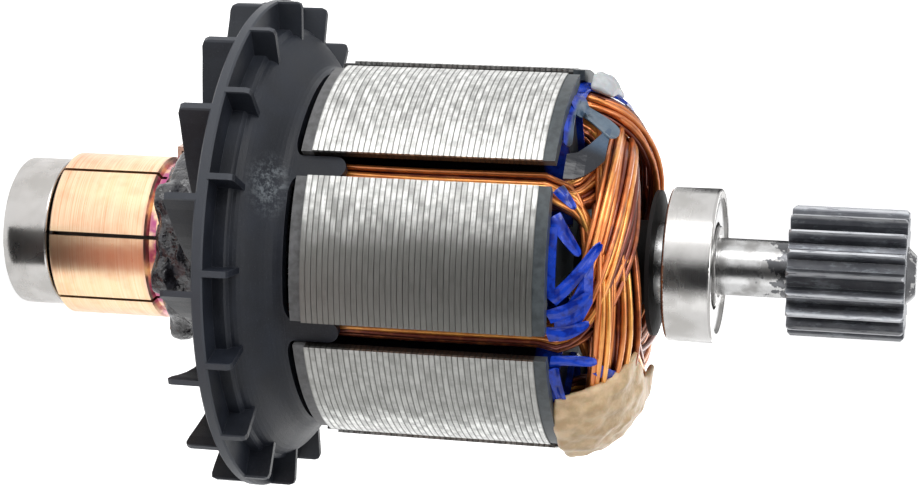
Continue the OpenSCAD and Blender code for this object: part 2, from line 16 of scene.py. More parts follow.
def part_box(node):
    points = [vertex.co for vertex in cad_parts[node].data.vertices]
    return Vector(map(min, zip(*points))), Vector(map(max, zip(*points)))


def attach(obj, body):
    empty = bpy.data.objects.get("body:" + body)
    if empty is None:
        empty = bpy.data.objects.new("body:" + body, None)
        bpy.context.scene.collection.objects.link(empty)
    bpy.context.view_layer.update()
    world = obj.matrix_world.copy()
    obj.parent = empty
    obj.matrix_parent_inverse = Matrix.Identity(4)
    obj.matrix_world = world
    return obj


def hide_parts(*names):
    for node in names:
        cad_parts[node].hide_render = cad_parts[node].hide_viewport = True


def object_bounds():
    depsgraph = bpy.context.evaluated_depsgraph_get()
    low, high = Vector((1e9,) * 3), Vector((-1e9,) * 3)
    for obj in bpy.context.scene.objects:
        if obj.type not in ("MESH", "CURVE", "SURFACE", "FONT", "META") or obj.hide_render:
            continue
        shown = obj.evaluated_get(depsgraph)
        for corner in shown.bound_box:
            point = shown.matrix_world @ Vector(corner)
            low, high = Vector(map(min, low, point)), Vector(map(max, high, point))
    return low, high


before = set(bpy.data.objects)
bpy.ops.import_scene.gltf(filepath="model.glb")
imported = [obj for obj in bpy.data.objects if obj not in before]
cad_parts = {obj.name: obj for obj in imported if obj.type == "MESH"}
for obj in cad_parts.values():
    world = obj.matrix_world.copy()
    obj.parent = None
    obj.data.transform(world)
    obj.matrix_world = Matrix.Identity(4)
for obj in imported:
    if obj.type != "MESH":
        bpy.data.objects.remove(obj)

cad_low, cad_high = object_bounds()
print("CAD box from", tuple(cad_low), "to", tuple(cad_high))

# %% [markdown]
# ## Heights and radii that the pieces share
# Sizes are in millimetres, as on a drawing, and `mm` turns them into Blender's metres at the last
# moment. Heights come from the boxes of the CAD nodes, so a longer stack moves the winding too.

# %% Shared sizes
mm = 0.001


def heights(node):
    """Lowest and highest point of a CAD node, in millimetres."""
    low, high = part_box(node)
    return low.z / mm, high.z / mm


def outer_radius(node):
    """Largest distance of a CAD node from the shaft axis along X, in millimetres."""
    low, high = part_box(node)
    return max(high.x, -low.x) / mm


slots = 7
pitch = 360 / slots
stack_foot, stack_top = heights("lamination_stack")
stack_r = outer_radius("lamination_stack")
front_face = heights("front_insulator")[1]
rear_face = heights("rear_insulator")[0]
washer_foot = heights("end_washer")[0]
nose_z = washer_foot - 0.1
winding_z = front_face + 0.8
print("stack", round(stack_foot, 2), "to", round(stack_top, 2), "radius", round(stack_r, 2))


def around(radius, angle, height):
    """A point at a distance from the axis and a height. Angle 0 faces -Y and grows towards +X."""
    a = math.radians(angle - 90)
    return Vector((radius * math.cos(a), radius * math.sin(a), height)) * mm


# %% [markdown]
# ## Camera
# The armature stands on its rear bearing, and the camera lies on its side, so the shaft runs across
# the view. It looks a little down, towards the commutator.

# %% Camera
camera_data = bpy.data.cameras.new("camera")
camera_data.lens = 90.2
camera_data.sensor_width = 36
camera = bpy.data.objects.new("camera", camera_data)
bpy.context.scene.collection.objects.link(camera)
bpy.context.scene.camera = camera
turn = Quaternion((0, 0, 1), math.radians(-1.3))
look = Vector((0, 0.97443, -0.2247))
camera.location = turn @ (Vector((-0.97, -282.95, 123.01)) * mm)
camera.rotation_mode = "QUATERNION"
camera.rotation_quaternion = (turn @ look).to_track_quat("-Z", "Y") @ Quaternion((0, 0, 1), math.radians(93))
camera_data.clip_start = 0.01
camera_data.clip_end = 60
print("camera at", tuple(round(v, 3) for v in camera.location))

# %% [markdown]
# ## Floor and light
# A wide pale floor fills the view. It glows a little, but only where the camera or metal sees it,
# which keeps it white while the lamps stay at a plain level, and it still takes the shadow. Large
# soft lamps stand round the part, because bare steel shows what stands round it.

# %% Floor
bpy.ops.mesh.primitive_plane_add(size=24, location=(0, 0, 0))
floor = bpy.context.object
floor.name = "floor"
floor_paint = bpy.data.materials.new("floor_paint")
floor_paint.use_nodes = True
tree = floor_paint.node_tree
paint = tree.nodes["Principled BSDF"]
paint.inputs["Base Color"].default_value = (0.9, 0.9, 0.9, 1)
paint.inputs["Roughness"].default_value = 0.9
paint.inputs["Specular IOR Level"].default_value = 0.1


def seen(tree, level, hidden=0.0):
    """A strength for the rays that show the background, straight or in metal, and one for the rest."""
    path = tree.nodes.new("ShaderNodeLightPath")
    shown = path.outputs["Is Camera Ray"]
    for name in ("Is Glossy Ray", "Is Transmission Ray"):
        most = tree.nodes.new("ShaderNodeMath")
        most.operation = "MAXIMUM"
        tree.links.new(shown, most.inputs[0])
        tree.links.new(path.outputs[name], most.inputs[1])
        shown = most.outputs[0]
    size = tree.nodes.new("ShaderNodeMapRange")
    size.inputs["To Min"].default_value = hidden
    size.inputs["To Max"].default_value = level
    tree.links.new(shown, size.inputs["Value"])
    return size.outputs["Result"]


tree.links.new(seen(tree, 0.72), paint.inputs["Emission Strength"])
paint.inputs["Emission Color"].default_value = (1, 1, 1, 1)
floor.data.materials.append(floor_paint)

# %% [markdown]
# The side of the part that faces the camera mirrors what is in front of it. Three dark cards, one
# lying on the floor and two standing, are seen only in the metal and give it its dark bands. Two
# patches on the floor, a dark one close to the rear bearing and a warm one beyond it, colour what
# the bearing and the commutator mirror.

# %% Dark cards
card_paint = bpy.data.materials.new("card_paint")
card_paint.use_nodes = True
card_paint.node_tree.nodes["Principled BSDF"].inputs["Roughness"].default_value = 0.9
card_dark = (0.015, 0.015, 0.017)
patch_height = 0.4


def only_mirrored(made, name, colour):
    """Paints a card and hides it from everything but reflections."""
    made.name = name
    made.visible_camera = False
    made.visible_shadow = False
    made.visible_diffuse = False
    own_paint = card_paint.copy()
    own_paint.node_tree.nodes["Principled BSDF"].inputs["Base Color"].default_value = (*colour, 1)
    made.data.materials.append(own_paint)


def card(name, place, width, length, lean):
    """A dark rectangle; lean tips it up from the floor."""
    tipped = (math.radians(lean), 0, math.radians(19))
    bpy.ops.mesh.primitive_plane_add(size=1, location=place, rotation=tipped)
    made = bpy.context.object
    made.scale = (width, length, 1)
    only_mirrored(made, name, card_dark)


def floor_card(name, corners, colour):
    """A coloured patch on the floor, given by its four corners in millimetres."""
    bpy.ops.mesh.primitive_plane_add(size=1, location=(0, 0, 0))
    made = bpy.context.object
    for vertex, corner in zip(made.data.vertices, corners):
        vertex.co = Vector((*corner, patch_height)) * mm
    only_mirrored(made, name, colour)


floor_card("card_near", ((-0.5, -10.5), (5.8, -9.5), (-2, -41), (33, -29)), (0.02, 0.02, 0.022))
floor_card("card_warm", ((7, -39), (30, -28), (18, -98), (92, -72)), (0.8, 0.31, 0.24))
card("card_low", (0.165, -0.49, 0.001), 0.42, 0.66, 0)
card("card_high", (0.27, -0.81, 0.5), 0.9, 1.0, 90)
card("card_back", (-0.1, 0.62, 0.1), 0.8, 0.26, 90)

# %% [markdown]
# Four soft lamps stand round the part: a long one at the side that lies uppermost in the view, a
# weak one opposite, one over the pinion and one behind. The world is white in what metal mirrors
# and dimmer as a light, so that the shadows keep their depth.

# %% Lamps
target = Vector((0, 0, 0.5 * (cad_low.z + cad_high.z)))


def lamp(name, place, size, power, long=None):
    """A soft rectangular lamp that faces the middle of the part."""
    data = bpy.data.lights.new(name, "AREA")
    data.shape = "RECTANGLE"
    data.size = size
    data.size_y = long or size
    data.energy = power
    made = bpy.data.objects.new(name, data)
    bpy.context.scene.collection.objects.link(made)
    made.location = Vector(place)
    made.rotation_mode = "QUATERNION"
    made.rotation_quaternion = (target - made.location).to_track_quat("-Z", "Y")


lamp("lamp_key", (-0.42, -0.34, 0.16), 0.26, 2.0, 0.5)
lamp("lamp_fill", (0.5, -0.34, 0.12), 0.34, 0.35, 0.5)
lamp("lamp_top", (-0.05, -0.25, 0.62), 0.34, 0.9)
lamp("lamp_back", (0.1, 0.6, 0.3), 0.5, 1.4)

world = bpy.data.worlds.new("studio")
bpy.context.scene.world = world
world.use_nodes = True
tree = world.node_tree
sky = tree.nodes["Background"]
sky.inputs["Color"].default_value = (1, 1, 1, 1)
tree.links.new(seen(tree, 1.0, 0.42), sky.inputs["Strength"])
bpy.context.scene.view_settings.view_transform = "Standard"

# %% [markdown]
# ## Small helpers for materials
# A material is a graph of nodes. These helpers add one node each, and take either a number or the
# output of another node, so that a finish reads as one short recipe.


# %% Node helpers
def put(socket, value):
    """Sets a socket to a value, or links another node's output to it."""
    if isinstance(value, bpy.types.NodeSocket):
        socket.id_data.links.new(value, socket)
    else:
        socket.default_value = value


def maths(tree, operation, *values):
    """One step of arithmetic on numbers or outputs."""
    node = tree.nodes.new("ShaderNodeMath")
    node.operation = operation
    for socket, value in zip(node.inputs, values):
        put(socket, value)
    return node.outputs[0]


def remap(tree, value, low, high, to_low=0.0, to_high=1.0):
    """Runs smoothly from to_low to to_high as value runs from low to high."""
    node = tree.nodes.new("ShaderNodeMapRange")
    node.interpolation_type = "SMOOTHSTEP"
    for name, number in (("From Min", low), ("From Max", high), ("To Min", to_low), ("To Max", to_high)):
        put(node.inputs[name], number)
    put(node.inputs["Value"], value)
    return node.outputs["Result"]


def blend(tree, share, first, second):
    """Mixes two colours."""
    node = tree.nodes.new("ShaderNodeMix")
    node.data_type = "RGBA"
    put(node.inputs["Factor"], share)
    put(node.inputs["A"], first)
    put(node.inputs["B"], second)
    return node.outputs["Result"]


# %% Places, noise and relief
def place_of(tree, stretch=(1, 1, 1)):
    """Object coordinates in millimetres, stretched along the axes."""
    where = tree.nodes.new("ShaderNodeTexCoord")
    scale = tree.nodes.new("ShaderNodeMapping")
    scale.inputs["Scale"].default_value = [s / mm for s in stretch]
    tree.links.new(where.outputs["Object"], scale.inputs["Vector"])
    return scale.outputs["Vector"]


def noise(tree, place, scale, detail=3.0, roughness=0.55):
    """Smooth random pattern from 0 to 1."""
    node = tree.nodes.new("ShaderNodeTexNoise")
    put(node.inputs["Vector"], place)
    node.inputs["Scale"].default_value = scale
    node.inputs["Detail"].default_value = detail
    node.inputs["Roughness"].default_value = roughness
    return node.outputs["Fac"]


def bump(tree, height, depth):
    """Normal of a surface with this relief; depth is in millimetres."""
    node = tree.nodes.new("ShaderNodeBump")
    node.inputs["Strength"].default_value = 1.0
    node.inputs["Distance"].default_value = depth * mm
    put(node.inputs["Height"], height)
    return node.outputs["Normal"]


# %% Finishes
def new_finish(name):
    """A material with its shader node, for the recipes below."""
    material = bpy.data.materials.new(name)
    material.use_nodes = True
    return material.node_tree, material.node_tree.nodes["Principled BSDF"], material


def roughen(tree, shader, mask, least, spread):
    """Roughness that grows from least by up to spread, as mask runs from 0 to 1."""
    put(shader.inputs["Roughness"], maths(tree, "ADD", least, maths(tree, "MULTIPLY", mask, spread)))


def coat(made, material):
    """Gives a mesh one finish in place of what it had."""
    made.data.materials.clear()
    made.data.materials.append(material)


def dress(node, material):
    """Gives a CAD node its finish."""
    coat(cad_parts[node], material)
    print(node, "has the finish", material.name)


# %% [markdown]
# ## Shared effect: polar place
# Most patterns on a turned part follow its axis. This group turns a point into its distance from the
# axis, its angle and its height, all in millimetres or turns, once for every finish that needs them.

# %% Polar group
polar = bpy.data.node_groups.new("polar_place", "ShaderNodeTree")
polar.interface.new_socket("Place", in_out="INPUT", socket_type="NodeSocketVector")
for name in ("Radius", "Turns", "Height"):
    polar.interface.new_socket(name, in_out="OUTPUT", socket_type="NodeSocketFloat")
inside = polar.nodes.new("NodeGroupInput")
outside = polar.nodes.new("NodeGroupOutput")
split = polar.nodes.new("ShaderNodeSeparateXYZ")
polar.links.new(inside.outputs["Place"], split.inputs[0])
x, y, z = split.outputs
square = maths(polar, "ADD", maths(polar, "MULTIPLY", x, x), maths(polar, "MULTIPLY", y, y))
put(outside.inputs["Radius"], maths(polar, "SQRT", square))
spin = maths(polar, "ARCTAN2", x, maths(polar, "MULTIPLY", y, -1.0))
put(outside.inputs["Turns"], maths(polar, "DIVIDE", spin, 2 * math.pi))
put(outside.inputs["Height"], z)


def polar_of(tree):
    """Distance from the axis and height in millimetres, and the angle in turns."""
    node = tree.nodes.new("ShaderNodeGroup")
    node.node_tree = polar
    put(node.inputs["Place"], place_of(tree))
    return node.outputs["Radius"], node.outputs["Turns"], node.outputs["Height"]


# %% [markdown]
# ## Shared effect: turned metal
# A lathe leaves fine rings round the axis. Noise that is stretched round the axis and short along it
# gives the rings, and a second, coarser noise breaks them up with stains and dull patches.

# %% Turned metal group
turned = bpy.data.node_groups.new("turned_metal", "ShaderNodeTree")
for name, start in (("Rings", 6.0), ("Stain", 0.6)):
    turned.interface.new_socket(name, in_out="INPUT", socket_type="NodeSocketFloat").default_value = start
for name in ("Ring", "Patch"):
    turned.interface.new_socket(name, in_out="OUTPUT", socket_type="NodeSocketFloat")
inside = turned.nodes.new("NodeGroupInput")
outside = turned.nodes.new("NodeGroupOutput")
radius, turns, height = polar_of(turned)
join = turned.nodes.new("ShaderNodeCombineXYZ")
put(join.inputs[0], maths(turned, "MULTIPLY", maths(turned, "ADD", height, radius), inside.outputs["Rings"]))
put(join.inputs[1], maths(turned, "MULTIPLY", turns, 2.0))
put(outside.inputs["Ring"], noise(turned, join.outputs[0], 1.0, 4.0, 0.7))
stain = turned.nodes.new("ShaderNodeTexNoise")
put(stain.inputs["Vector"], place_of(turned))
put(stain.inputs["Scale"], inside.outputs["Stain"])
put(outside.inputs["Patch"], stain.outputs["Fac"])


def turned_of(tree, rings, stain):
    """Rings and patches of turned metal; both sizes are in waves per millimetre."""
    node = tree.nodes.new("ShaderNodeGroup")
    node.node_tree = turned
    node.inputs["Rings"].default_value = rings
    node.inputs["Stain"].default_value = stain
    return node.outputs["Ring"], node.outputs["Patch"]


# %% [markdown]
# ## Shared effect: worn and lit edges
# Handling rubs the sharp edges of a part bright. The same mask also paints a highlight on the edges
# of the fan and shade on the chamfers of the bearings. Near an edge a bevelled normal leans away from
# the face, and how far it leans is the mask. Noise breaks the line up.

# %% Edge group for wear and painted light
edge_wear_and_light = bpy.data.node_groups.new("edges_worn_and_lit", "ShaderNodeTree")
edge_wear_and_light.interface.new_socket("Size", in_out="INPUT", socket_type="NodeSocketFloat").default_value = 0.15
edge_wear_and_light.interface.new_socket("Edge", in_out="OUTPUT", socket_type="NodeSocketFloat")
inside = edge_wear_and_light.nodes.new("NodeGroupInput")
outside = edge_wear_and_light.nodes.new("NodeGroupOutput")
corner = edge_wear_and_light.nodes.new("ShaderNodeBevel")
corner.samples = 4
put(corner.inputs["Radius"], maths(edge_wear_and_light, "MULTIPLY", inside.outputs["Size"], mm))
flat = edge_wear_and_light.nodes.new("ShaderNodeNewGeometry")
lean = edge_wear_and_light.nodes.new("ShaderNodeVectorMath")
lean.operation = "DOT_PRODUCT"
put(lean.inputs[0], corner.outputs["Normal"])
put(lean.inputs[1], flat.outputs["Normal"])
edge = remap(edge_wear_and_light, maths(edge_wear_and_light, "SUBTRACT", 1.0, lean.outputs["Value"]), 0.02, 0.16)
rub = remap(edge_wear_and_light, noise(edge_wear_and_light, place_of(edge_wear_and_light), 0.9, 4.0, 0.7), 0.3, 0.55)
put(outside.inputs["Edge"], maths(edge_wear_and_light, "MULTIPLY", edge, rub))


# %% Masks of edges and of one spot
def edges_of(tree, size):
    """Mask of the edges over a width in millimetres: wear on most parts, partly a painted highlight on the
    fan, painted shade on the chamfers of the bearings.
    """
    node = tree.nodes.new("ShaderNodeGroup")
    node.node_tree = edge_wear_and_light
    node.inputs["Size"].default_value = size
    return node.outputs["Edge"]


def near_spot(tree, angle, height, radius, reach):
    """Mask that fades out at a distance from one place on the part."""
    node = tree.nodes.new("ShaderNodeVectorMath")
    node.operation = "DISTANCE"
    put(node.inputs[0], place_of(tree))
    node.inputs[1].default_value = around(radius, angle, height) / mm
    return remap(tree, node.outputs["Value"], 0.0, reach, 1.0, 0.0)


# %% [markdown]
# ## Steel
# The shaft and the rings of the bearings are ground steel. The chamfers at the edges of the rings are
# painted dark, as shade, and the shaft is stained with old oil beside the pinion.

# %% Recipe for steel
# Dark for oil stains on the shaft, and also for painted shade on the chamfers of the rings.
oil_and_shade_black = (0.06, 0.062, 0.07, 1)


def steel_finish(name, pale, dull, rough, rings=7.0, stain=0.5, depth=0.006, dark_mask=None):
    """Turned steel: fine rings, cloudy patches and a little relief. The last argument adds a dark mask: oil
    on the shaft, painted shade on the chamfers of the rings.
    """
    tree, shader, material = new_finish(name)
    ring, patch = turned_of(tree, rings, stain)
    cloud = remap(tree, patch, 0.35, 0.7)
    base = blend(tree, cloud, pale, dull)
    put(shader.inputs["Base Color"], blend(tree, dark_mask(tree), base, oil_and_shade_black) if dark_mask else base)
    roughen(tree, shader, maths(tree, "ADD", ring, cloud), rough, 0.12)
    put(shader.inputs["Normal"], bump(tree, ring, depth))
    shader.inputs["Metallic"].default_value = 1
    return material


# %% Oil on the shaft and painted shade on the chamfers of the rings
pinion_foot = heights("pinion")[0]


def oil(tree):
    """Blotches on the shaft that close up towards the pinion."""
    height = polar_of(tree)[2]
    cloud = noise(tree, place_of(tree), 0.75, 3.0, 0.6)
    closing = remap(tree, height, pinion_foot - 4.5, pinion_foot + 0.5, 0.68, 0.36)
    blotch = remap(tree, maths(tree, "SUBTRACT", cloud, closing), 0.0, 0.05)
    near_pinion = remap(tree, height, pinion_foot - 6.5, pinion_foot - 4.0, 0.0, 0.85)
    return maths(tree, "MULTIPLY", blotch, near_pinion)


def chamfers(tree):
    """The narrow slopes at the edges of a bearing's rings, painted dark as shade."""
    return remap(tree, edges_of(tree, 0.3), 0.03, 0.3, 0.0, 0.85)


# %% Steel of the shaft, the bearings and their parts
shaft_steel = steel_finish("shaft_steel", (0.54, 0.54, 0.54, 1), (0.3, 0.295, 0.29, 1), 0.16, dark_mask=oil)
ring_steel = steel_finish("ring_steel", (0.54, 0.53, 0.52, 1), (0.43, 0.42, 0.405, 1), 0.14, 5.0, 0.25,
                          dark_mask=chamfers)
ball_steel = steel_finish("ball_steel", (0.75, 0.75, 0.76, 1), (0.68, 0.68, 0.69, 1), 0.05, 3.0, 0.4, 0.001)
cage_steel = steel_finish("cage_steel", (0.5, 0.48, 0.44, 1), (0.36, 0.34, 0.31, 1), 0.3)
shield_steel = steel_finish("shield_steel", (0.55, 0.55, 0.55, 1), (0.4, 0.4, 0.4, 1), 0.22, 9.0, 0.3)
bearing_finishes = (("inner_ring", ring_steel), ("outer_ring", ring_steel), ("balls", ball_steel),
                    ("cage", cage_steel), ("shields", shield_steel))
for node in ("shaft", "collar"):
    dress(node, shaft_steel)
for end in ("front", "rear"):
    for piece, material in bearing_finishes:
        dress(f"{end}_{piece}", material)

# %% [markdown]
# ## Wires of the winding
# Each coil is a bundle of enamelled wires. They leave one slot side by side, fan out over the end of
# the stack, run round the shaft and sink under the other bundles into a slot three further on.
# Operators can't lay a wire along a computed path, so each wire is a spline with a round bevel,
# and the bundle of one coil is then made a mesh.

# %% Path of one wire
wire_r = 0.37
dome_foot = Vector((stack_r - 2.45, winding_z))
dome_shoulder = Vector((stack_r - 4.45, nose_z - 0.3))
dome_tip = Vector((9.4, nose_z + 0.7))
coil_turn = 3 * pitch
lay_r = 20.5


def smooth(x):
    """Runs softly from 0 to 1 as x does."""
    x = min(max(x, 0.0), 1.0)
    return x * x * (3 - 2 * x)


def on_dome(t, angle, depth):
    """A point below the surface of the end winding; t runs from the slot's mouth to the nose."""
    spot = dome_foot * (1 - t) ** 2 + dome_shoulder * 2 * t * (1 - t) + dome_tip * t * t
    lean = math.radians(90 * t)
    return around(spot.x - depth * math.cos(lean), angle, spot.y - depth * math.sin(lean))


def wire_point(slot_angle, s, place, crown, first, last):
    """Where a wire is at s, from 0 at its first slot to 2 at its second.

    place is its distance across the slot in millimetres, which is an angle at the radius lay_r,
    crown how far up the dome it climbs, and first and last how deep it lies at its two slots."""
    near = min(s, 2 - s)
    share = 0.5 * near ** (1.15 + 0.7 * crown)
    share = share if s <= 1 else 1 - share
    fan_out = 0.5 + 0.4 * smooth(2.5 * near) - 0.4 * smooth(near)
    angle = slot_angle - coil_turn * share + math.degrees(place / lay_r) * fan_out
    climb = (0.36 + 0.62 * crown) * math.sin(math.radians(90 * near)) ** (0.55 + 0.6 * crown)
    return on_dome(climb, angle, first + (last - first) * smooth((s - 0.6) / 1.3))


# %% Course down a slot
def in_slot(slot_angle, place, depth, wander):
    """A wire's course down a slot, from the front of the stack to the rear."""
    course = []
    for height in (front_face - 1.5, 0.5 * (rear_face + front_face), rear_face):
        angle = slot_angle + math.degrees((place * 0.42 + 0.15 * math.sin(wander + height)) / lay_r)
        course.append(around(stack_r - 2.55 - depth, angle, height))
    return course


# %% Build the bundle of one coil
columns = 10
layers = 3
wire_steps = 30
half_spread = 3.6
layer_gap = 0.62


def pick(made):
    """Makes an object the active one and the only one that is selected."""
    bpy.ops.object.select_all(action="DESELECT")
    made.select_set(True)
    bpy.context.view_layer.objects.active = made


def bundle(name, slot_angle, seed, first, last, sunk):
    """The wires of one coil as one mesh, with a number for each wire in an attribute: its tone, lower in
    deeper layers as painted shade.

    first and last are its depths at the two slots, and sunk its depth down in the second one."""
    rng = random.Random(seed)
    curve = bpy.data.curves.new(name, "CURVE")
    curve.dimensions = "3D"
    curve.bevel_depth = wire_r * mm
    curve.bevel_resolution = 1
    wire_tones_and_shade = []
    for layer in range(layers):
        for column in range(columns):
            if layer == 0 and rng.random() < 0.3:
                continue
            spread = (column + 0.5 * (layer % 2) + rng.uniform(-0.25, 0.25)) / (columns - 0.5)
            place = (2 * spread - 1) * half_spread
            crown = min(max(spread + rng.gauss(0, 0.09), 0), 1)
            depth = wire_r + layer_gap * layer + rng.uniform(0, 0.3)
            phase = [rng.uniform(0, 6.3) for _ in range(4)]
            points = in_slot(slot_angle, place, depth + first, phase[0])[::-1]
            for step in range(wire_steps + 1):
                s = 2 * step / wire_steps
                sway = 0.7 * math.sin(phase[1] + 4 * s) + 0.16 * math.sin(phase[2] + 11 * s)
                heave = depth + 0.14 * math.sin(phase[3] + 7 * s)
                points.append(wire_point(slot_angle, s, place + sway, crown, first + heave, last + heave))
            points += in_slot(slot_angle - coil_turn, place, depth + sunk, phase[0])
            spline = curve.splines.new("POLY")
            spline.points.add(len(points) - 1)
            for knot, point in zip(spline.points, points):
                knot.co = (*point, 1)
            # A random tone for each wire, darker in the deeper layers as painted shade under the wires on
            # top.
            wire_tones_and_shade.append(rng.random() * (1 - 0.32 * layer))
    made = bpy.data.objects.new(name, curve)
    bpy.context.scene.collection.objects.link(made)
    pick(made)
    bpy.ops.object.convert(target="MESH")
    made = bpy.context.object
    bpy.ops.object.shade_smooth()
    each = len(made.data.vertices) // len(wire_tones_and_shade)
    tone_and_shade = made.data.attributes.new("tone_and_shade", "FLOAT", "POINT")
    for i in range(len(made.data.vertices)):
        tone_and_shade.data[i].value = wire_tones_and_shade[min(i // each, len(wire_tones_and_shade) - 1)]
    return made


# %% [markdown]
# ## Enamel
# Enamel is clear and coloured, over bright copper. The base is a metal whose colour runs from deep
# red-brown to gold from wire to wire, under a glossy coat. Wires in the deeper layers are painted
# darker, as shade under the wires on top.

# %% Enamel
tree, shader, enamel = new_finish("enamelled_copper")
own = tree.nodes.new("ShaderNodeAttribute")
own.attribute_name = "tone_and_shade"
cloud = noise(tree, place_of(tree), 0.5, 3.0)
drift = maths(tree, "MULTIPLY", maths(tree, "SUBTRACT", cloud, 0.65), 0.8)
shade = maths(tree, "ADD", own.outputs["Fac"], drift)
gold = blend(tree, remap(tree, shade, 0.45, 1.05), (0.66, 0.2, 0.05, 1), (0.98, 0.48, 0.11, 1))
put(shader.inputs["Base Color"], blend(tree, remap(tree, shade, 0.0, 0.45), (0.17, 0.034, 0.018, 1), gold))
roughen(tree, shader, cloud, 0.24, 0.16)
put(shader.inputs["Normal"], bump(tree, noise(tree, place_of(tree), 2.5), 0.02))
shader.inputs["Metallic"].default_value = 0.7
shader.inputs["Coat Weight"].default_value = 0.6
shader.inputs["Coat Roughness"].default_value = 0.1

# %% [markdown]
# ## The coils
# Each coil comes out near the surface at its first slot and dives under its neighbours towards its
# second. Three lists hold how deep it lies at the first slot, at the second, and down in the second.
# They differ a little, as no two coils lie alike, and the last one starts deeper than the rest.

# %% Seven coils
starts = [0.0, -0.4, 0.4, 0.3, 0.6, 0.1, 2.7]
ends = [3.6, 3.9, 2.6, 3.8, 4.0, 4.2, 4.4]
runs = [2.2, 2.5, 0.2, 2.4, 2.6, 2.8, 3.0]
for k in range(slots):
    wires = bundle(f"coil_{k + 1}_wires", pitch * (k + 0.5), 11 + k, starts[k], ends[k], runs[k])
    coat(wires, enamel)
    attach(wires, "rotor")
    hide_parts(f"coil_{k + 1}")
print("faces in one coil:", len(wires.data.polygons))

# %% [markdown]
# ## Moulded fan
# The fan is black nylon with a blue cast. Its grain shows as fine speckle, and the rim and the tips
# of the blades are greyer, partly as wear where it is thinnest and most often touched and partly as a
# painted highlight on its edges. The side towards the key lamp is painted lighter, as light, and a
# glint on the bell is painted in as a pale patch.

# %% Fan plastic
fan_r = outer_radius("fan")
tree, shader, fan_plastic = new_finish("fan_plastic")
radius, turns, height = polar_of(tree)
grain = noise(tree, place_of(tree), 5.0, 4.0, 0.75)
cloud = noise(tree, place_of(tree), 0.16, 3.0)
# The rim and the edges are greyer, partly as wear and partly as a painted highlight.
rim = remap(tree, radius, fan_r - 0.35, fan_r - 0.15)
rubbed_and_lit = maths(tree, "MAXIMUM", rim, edges_of(tree, 0.16))
base = blend(tree, remap(tree, cloud, 0.35, 0.7), (0.0045, 0.006, 0.0105, 1), (0.0115, 0.0145, 0.0225, 1))
dust = maths(tree, "MULTIPLY", remap(tree, grain, 0.56, 0.74), 0.25)
speckle_and_light = blend(tree, dust, base, (0.09, 0.1, 0.12, 1))
# A glint of light on the bell, painted in as a pale patch broken up by grain.
glint_grain = remap(tree, noise(tree, place_of(tree, (1, 1, 0.6)), 1.3, 5.0, 0.8), 0.43, 0.63)
painted_glint = maths(tree, "MULTIPLY", near_spot(tree, -18, rear_face - 5.8, 21, 6.0), glint_grain)
# The side towards the key lamp is painted lighter, as light falling on it.
lit_side_paint = remap(tree, turns, -0.2, -0.04, 0.3, 0.0)
speckle_and_light = blend(tree, lit_side_paint, speckle_and_light, (0.04, 0.045, 0.055, 1))
speckle_and_light = blend(tree, painted_glint, speckle_and_light, (0.56, 0.62, 0.66, 1))
rubbed_and_lit = maths(tree, "MULTIPLY", rubbed_and_lit, maths(tree, "SUBTRACT", 1.0, painted_glint))
edged = blend(tree, maths(tree, "MULTIPLY", rubbed_and_lit, 0.5), speckle_and_light, (0.085, 0.092, 0.108, 1))
put(shader.inputs["Base Color"], edged)
roughen(tree, shader, cloud, 0.33, 0.3)
put(shader.inputs["Normal"], bump(tree, grain, 0.035))
shader.inputs["Specular IOR Level"].default_value = 0.3
dress("fan", fan_plastic)

# %% [markdown]
# ## Stack of steel sheets
# The stack is ground after it is built, so the edges of its sheets are bright and scratched along the
# shaft and round it. Each sheet is a little lighter or darker than its neighbours, with stains that
# stop at a joint. Down in the slots the steel is black.

# %% Core steel: sheets and joints
sheet_count = 40
sheet_pitch = (stack_top - stack_foot) / sheet_count
tree, shader, core_steel = new_finish("core_steel")
radius, turns, height = polar_of(tree)
count = maths(tree, "DIVIDE", maths(tree, "SUBTRACT", height, stack_foot), sheet_pitch)
sheet = maths(tree, "FLOOR", count)
off_middle = maths(tree, "ABSOLUTE", maths(tree, "SUBTRACT", maths(tree, "FRACT", count), 0.5))
joint = remap(tree, off_middle, 0.22, 0.46)
join = tree.nodes.new("ShaderNodeCombineXYZ")
put(join.inputs[0], maths(tree, "MULTIPLY", sheet, 3.7))
put(join.inputs[1], maths(tree, "MULTIPLY", turns, 70.0))
streak = noise(tree, join.outputs[0], 1.0, 4.0, 0.6)
fine = noise(tree, place_of(tree, (0.5, 0.5, 9)), 0.8, 5.0, 0.75)
cloud = noise(tree, place_of(tree), 0.12, 3.0)
tone = maths(tree, "ADD", maths(tree, "MULTIPLY", streak, 0.55), maths(tree, "MULTIPLY", fine, 0.45))
outer = blend(tree, remap(tree, tone, 0.38, 0.62), (0.36, 0.36, 0.35, 1), (0.8, 0.8, 0.78, 1))
print("pitch of the sheets:", round(sheet_pitch, 3), "mm")

# %% [markdown]
# The lower side of the stack is painted darker, as shade, with a ragged border that begins on the
# middle tooth, and the middle tooth is painted darker still, as a dark reflection. The middle tooth
# also has short dark runs of painted reflection that change from sheet to sheet.

# %% Core steel: painted shade and slots
# Painted shade: the lower side darker, and the middle tooth darkest, as a painted reflection.
painted_shade_dark = (0.15, 0.15, 0.14, 1)
ragged = maths(tree, "MULTIPLY", maths(tree, "ADD", cloud, streak), 14.0)
border = maths(tree, "ADD", maths(tree, "MULTIPLY", turns, 360.0), ragged)
below = maths(tree, "MULTIPLY", remap(tree, border, 2.0, 14.0), remap(tree, border, 66.0, 78.0, 1.0, 0.0))
middle = remap(tree, turns, 0.06, 0.085, 1.0, 0.0)
share = maths(tree, "ADD", 0.66, maths(tree, "MULTIPLY", middle, 0.26))
shaded_steel = blend(tree, maths(tree, "MULTIPLY", below, share), outer, painted_shade_dark)
